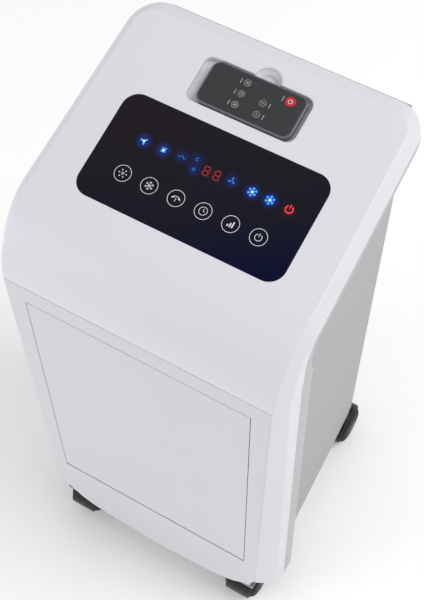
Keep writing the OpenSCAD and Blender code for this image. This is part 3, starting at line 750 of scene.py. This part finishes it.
bl = Ink(tf_slope, 0.14, 0.20)
fan_icon(bl, -59.6, 12.6, 3.4, 3)
for dy in (-1.6, 0, 1.6):
    bl.line(-43.6, 12.4 + dy, -39.4, 12.4 + dy + 0.6, 0.6)
snow_icon(bl, 38.5, 11.9, 4.0, 0.62)
snow_icon(bl, 54.0, 11.8, 4.0, 0.62)
bl.make("lamps_blue", "cabinet", M_BLUE)
core = Ink(tf_slope, 0.15, 0.22)
for (a, b) in ((-59.6, 12.6), (-41.5, 12.4), (38.5, 11.9), (54.0, 11.8)):
    core.disc(a, b, 0.95, 16)
core.make("lamps_blue_core", "cabinet", M_WHITEHOT)
bd = Ink(tf_slope, 0.14, 0.19)
for t in (0, 1, 2):
    bd.ring(-27.6 + 2.2 * t, 13.9, 0.75, 1.15, 0 if t % 2 else 180, 180 if t % 2 else 360, 24)
bd.ring(-13.1, 17.3, 1.1, 1.5, 60, 300, 24)
bd.ring(-12.0, 8.5, 0.9, 1.3, n=24)
fan_icon(bd, 19.9, 13.2, 3.3, 3, turn=60)
bd.make("lamps_blue_dim", "cabinet", M_BLUEDIM)
rl = Ink(tf_slope, 0.14, 0.20)
rl.ring(70.9, 11.5, 2.7, 3.4, 125, 415, 40)
rl.line(70.9, 12.4, 70.9, 15.6, 0.7)
rl.make("lamp_red_power", "cabinet", M_REDL)
dg = Ink(tf_slope, 0.14, 0.17)
for cx in (-2.2, 7.2):
    cy, hw, hh, w = 11.7, 2.2, 3.9, 0.75
    for (a, b, c2, d2) in ((-hw, hh, hw, hh), (-hw, 0, hw, 0), (-hw, -hh, hw, -hh)):
        dg.line(cx + a + 0.5, cy + b, cx + c2 - 0.5, cy + d2, w)
    for g in (-1, 1):
        for (b0, b1) in ((0.5, hh - 0.5), (-hh + 0.5, -0.5)):
            dg.line(cx + g * hw, cy + b0, cx + g * hw, cy + b1, w)
    dg.disc(cx + hw + 1.3, cy - hh, 0.42, 10)
dg.make("digits_red", "cabinet", M_REDDIM)

# ------------------------------------------------------------------ remote
RT = 1.0
KEYS = [("power", 29, 11, 4.5), ("speed", -9.5, 11, 3.4), ("timer", -9.5, 0.4, 3.4), ("cool", -9.5, -10, 3.4), ("swing", 10, 0.4, 3.4), ("ion", 10, -10.3, 3.4)]
rem = slab("remote_case", rrect(86.0, 40.0, 8.0, 12), RT - 6.85, RT, 1.1, tf_rem, 5, bottom_edge=0.9)
sheet_ = slab("remote_label", rrect(83.0, 37.0, 6.6, 12), RT - 0.3, RT + 0.06, 0.05, tf_rem, 2)
for ob, r_extra in ((rem, 0.22), (sheet_, 0.24)):
    cyl = join([prism("c", [(circle_pts(r + r_extra, 40, a, b), RT - 2.6), (circle_pts(r + r_extra, 40, a, b), RT + 2)], tf_rem) for _, a, b, r in KEYS], "cut")
    boolean(ob, cyl)
put(rem, "remote", M_RIM, "remote_shell", slot="remote_black", angle=40)
put(sheet_, "remote", M_REMOTE, slot="remote_black", angle=40)
for name, a, b, r in KEYS:
    red = name == "power"
    k = slab(name + "_key_cap", circle_pts(r, 44, a, b), RT - 1.7, RT + 0.35, 0.4, tf_rem, 4)
    put(k, name + "_key", M_RED if red else M_KEY, name + "_key", slot="key_red" if red else "key_grey", angle=40)
    ic = Ink(tf_rem, RT + 0.30, RT + 0.38)
    if not red:
        ic.ring(a, b, r - 0.62, r - 0.36, n=40)
    q = r * 0.5
    {"power": lambda: power_icon(ic, a, b - 0.15, 2.0, 0.42), "speed": lambda: fan_icon(ic, a, b, q * 1.1, 4),
     "timer": lambda: clock_icon(ic, a, b, q, 0.3), "cool": lambda: snow_icon(ic, a, b, q * 1.1, 0.28),
     "swing": lambda: swing_icon(ic, a, b, q, 0.3), "ion": lambda: ion_icon(ic, a, b, q * 1.1, 0.25)}[name]()
    ic.make(name + "_key_mark", name + "_key", M_INK if red else M_INK2)
cap = Ink(tf_rem, RT + 0.05, RT + 0.08)
for (a, b, l) in ((-15.2, 11, 4.2), (-15.2, 0.4, 4.2), (-15.2, -10, 4.2), (15.8, 0.4, 4.2), (15.8, -10.3, 4.2), (22.3, 11, 4.8)):
    cap.line(a, b - l / 2, a, b + l / 2, 0.55)
cap.make("remote_dashes", "remote", M_INK2)

# ------------------------------------------------------------------ CAD nodes that keep their shape
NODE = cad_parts


def dress(mat, *names, bev=0.0, seg=3, angle=32, shade=32):
    for n in names:
        if n not in NODE:
            continue
        ob = NODE[n]
        if ob.data.materials:
            for i in range(len(ob.data.materials)):
                ob.data.materials[i] = mat
        else:
            ob.data.materials.append(mat)
        for sl in ob.material_slots:
            sl.material = mat
        if bev:
            bevel(ob, bev, seg, angle)


def board_material():
    m = material("circuit_board", srgb(24, 92, 52), rough=0.45, spec=0.5, var=0.12, var_scale=60, grain=500, grain_str=0.1)
    return m


M_PCB = board_material()
dress(M_DOOR_PAINTED_SHADE, "front_panel", bev=0.5)
dress(M_GREY_PAINTED_SHADE, "side_panel_left", "side_panel_right", bev=0.7)
dress(M_GREY_PAINTED_SHADE, "rear_frame")
dress(M_GREY_PAINTED_SHADE, "rear_grille", bev=0.5, seg=2)
dress(M_BASE, "base_plate", bev=0.6, seg=2)
dress(M_DUCT, "outlet_frame", "fan_housing", "vane_1", "vane_2", "vane_3", "vane_4", "vane_link", bev=0.3, seg=2)
dress(M_TRIM, "louvre_1", "louvre_2", "louvre_3", "louvre_4", "louvre_link", "water_tray", bev=0.3, seg=2)
dress(M_PCB, "control_board", "power_board")
dress(M_MOTOR, "fan_motor", "swing_motor", "door_motor", bev=0.4, seg=2)
dress(M_BRONZE, "shaft_bush")
dress(M_HOSE, "riser_hose")
dress(M_BLACK, "ioniser", "cord_gland", "pump", "fan_wheel", bev=0.3, seg=2)
dress(M_STEEL, "case_screws", "fan_shaft", "caster_axle_fl", "caster_axle_fr", "caster_axle_rl", "caster_axle_rr")
dress(M_REMOTE, "battery_tray")
dress(M_DOOR_PAINTED_SHADE, "front_door", bev=0.8)
dress(M_TANK, "water_tank", bev=0.8)
dress(M_BLACK, "dust_filter")
dress(M_HOSE, "cooling_pad")
CAS = {"fl": (-100, 44.5, -1), "fr": (100, 44.5, -1), "rl": (-100, 223, 1), "rr": (100, 223, 1)}
WR, HR, HW, TRAIL = 23.5, 25.5, 14.5, 18


def ring_section(name, prof, cx, cy, cz, a0=0.0, a1=360.0, n=56):
    """prof: closed list of (x, r); swept about the axle (parallel to x) from a0 to a1, ends capped"""
    full = a1 - a0 >= 359.9
    m = len(prof); k = n if full else n + 1
    verts, faces = [], []
    for i in range(k):
        a = math.radians(a0 + (a1 - a0) * i / n)
        for x, r in prof:
            verts.append(mm(cx + x, cy + r * math.cos(a), cz + r * math.sin(a)))
    for i in range(n):
        for j in range(m):
            p, q = i * m + j, i * m + (j + 1) % m
            r_, s_ = ((i + 1) % k) * m + j, ((i + 1) % k) * m + (j + 1) % m
            faces.append((p, q, s_, r_))
    if not full:
        faces.append(tuple(reversed(range(m)))); faces.append(tuple((k - 1) * m + j for j in range(m)))
    ob = new_obj(name, verts, faces)
    fix_normals(ob)
    return ob


for c, (cx, cy, dr) in CAS.items():
    ay = cy + dr * TRAIL
    # hood: a curved cover with rolled ends and edges, over the central web and the stem
    t_ = 1.3
    prof = [(-HW, HR - t_ + 0.35), (-HW + 0.25, HR - 0.45), (-HW + 0.8, HR - 0.1), (-HW + 1.5, HR), (HW - 1.5, HR), (HW - 0.8, HR - 0.1), (HW - 0.25, HR - 0.45), (HW, HR - t_ + 0.35), (HW - 0.5, HR - t_), (-HW + 0.5, HR - t_)]
    hood = ring_section("hood_cover_" + c, prof, cx, ay, WR, -4, 184, 44)
    lips = [ring_section("lip", [(x, r) for x, r in rrect(2 * HW - 0.6, 1.7, 0.8, 4, 0, HR - 0.75)], cx, ay, WR, a - 1.6, a + 1.6, 3) for a in (-5.0, 185.0)]
    web = ring_section("web", [(-2.9, 3.2), (-2.9, 21.2), (-2.5, 21.6), (2.5, 21.6), (2.9, 21.2), (2.9, 3.2)], cx, ay, WR, 0, 360, 64)
    webtop = ring_section("webtop", [(-2.9, 21), (-2.9, HR - 1), (2.9, HR - 1), (2.9, 21)], cx, ay, WR, -2, 182, 40)
    stem = revolve("stem", [(0.01, 40), (5.4, 40), (5.4, 75.2), (4.8, 75.9), (0.01, 75.9)], lambda x, y, z: mm(cx + x, cy + y, z), 32, closed=False)
    neck = revolve("neck", [(0.01, 38), (7.9, 38), (7.9, 48.4), (6.9, 49.4), (0.01, 49.4)], lambda x, y, z: mm(cx + x, cy + y, z), 36, closed=False)
    hd = join([hood] + lips + [web, webtop, stem, neck], "hood_" + c)
    put(hd, "caster_" + c, M_CASTER, "caster_hood_" + c, slot="caster_black", angle=38)
    # twin wheels: rounded tread under the hood and a domed cap outside it
    whs, caps = [], []
    for g in (-1, 1):
        prof = [(g * 3.9, 5.0), (g * 3.9, WR - 1.2), (g * 4.5, WR - 0.35), (g * 5.6, WR), (g * 12.6, WR), (g * 13.7, WR - 0.35), (g * 14.3, WR - 1.1)]
        for i in range(1, 13):
            a = math.pi / 2 * i / 12
            prof.append((g * (14.3 + 4.9 * math.sin(a) ** 0.9), 9.5 + (WR - 1.9 - 9.5) * math.cos(a) ** 0.62 if i < 12 else 9.5))
        prof += [(g * 19.0, 8.9), (g * 18.6, 8.4), (g * 18.6, 3.4), (g * 17.9, 3.2), (g * 6, 3.2), (g * 5.0, 4.0)]
        whs.append(ring_section("wheel", prof, cx, ay, WR, 0, 360, 72))
        hub = [(g * 17.4, 0.01), (g * 17.4, 7.9), (g * 18.9, 7.7), (g * 19.25, 7.1), (g * 19.3, 0.01)]
        caps.append(ring_section("hub", hub, cx, ay, WR, 0, 360, 40))
    wh = join(whs, "wheels_" + c + "_tyres")
    put(wh, "wheels_" + c, M_TREAD, "caster_wheels_" + c, slot="caster_rubber", angle=40)
    hb = join(caps, "wheels_" + c + "_hubs")
    put(hb, "wheels_" + c, M_CASTER, slot="caster_black", angle=40)

# ------------------------------------------------------------------ studio
fl = new_obj("studio_floor", [(-4, -3, 0), (4, -3, 0), (4, 6, 0), (-4, 6, 0)], [(0, 1, 2, 3)], smooth=False)
fl.location.z = min(BOX0[0][2], 0.0) - 0.0002
M_FLOOR = material("floor_pale", srgb(254, 254, 254), rough=0.6, spec=0.3, var=0.004, var_scale=1.0, grain=60, grain_str=0.0)
fb = M_FLOOR.node_tree.nodes["Principled BSDF"]
fb.inputs["Emission Color"].default_value = (1, 1, 1, 1)
fb.inputs["Emission Strength"].default_value = 0.09
fl.data.materials.append(M_FLOOR)

world = bpy.data.worlds.new("studio"); scene.world = world; world.use_nodes = True
wn = world.node_tree.nodes; wl = world.node_tree.links
wn["Background"].inputs["Color"].default_value = (1, 1, 1, 1)
wn["Background"].inputs["Strength"].default_value = 0.60


def area(name, loc, target, size, power, color=(1, 1, 1), size_y=None):
    l = bpy.data.lights.new(name, "AREA"); l.energy = power; l.color = color
    l.shape = "RECTANGLE" if size_y else "SQUARE"; l.size = size
    if size_y: l.size_y = size_y
    o = bpy.data.objects.new(name, l); scene.collection.objects.link(o)
    o.location = loc
    d = Vector(target) - Vector(loc)
    o.rotation_euler = d.to_track_quat("-Z", "Y").to_euler()
    return o


area("key", (1.45, 0.5, 2.2), (0.0, 0.0, 0.4), 1.4, 28)
area("front_fill", (-1.8, -1.8, 0.8), (0, 0, 0.4), 1.6, 22)

# ------------------------------------------------------------------ camera
cam = bpy.data.cameras.new("camera"); co = bpy.data.objects.new("camera", cam); scene.collection.objects.link(co)
cam.sensor_width = 36; cam.sensor_fit = "AUTO"; cam.lens = 73.95
cam.clip_start = 0.01; cam.clip_end = 50
CX = Vector((0.86443877, 0.50271082, -0.00523884)); CY = Vector((-0.42625918, 0.73842137, 0.52252941)); CZ = Vector((0.26654966, -0.44946158, 0.85260516))
M = Matrix((CX, CY, CZ)).transposed().to_4x4()
M.translation = (0.29907, (-381.22 + YF) / 1000, 1.33337)
co.matrix_world = M
scene.camera = co
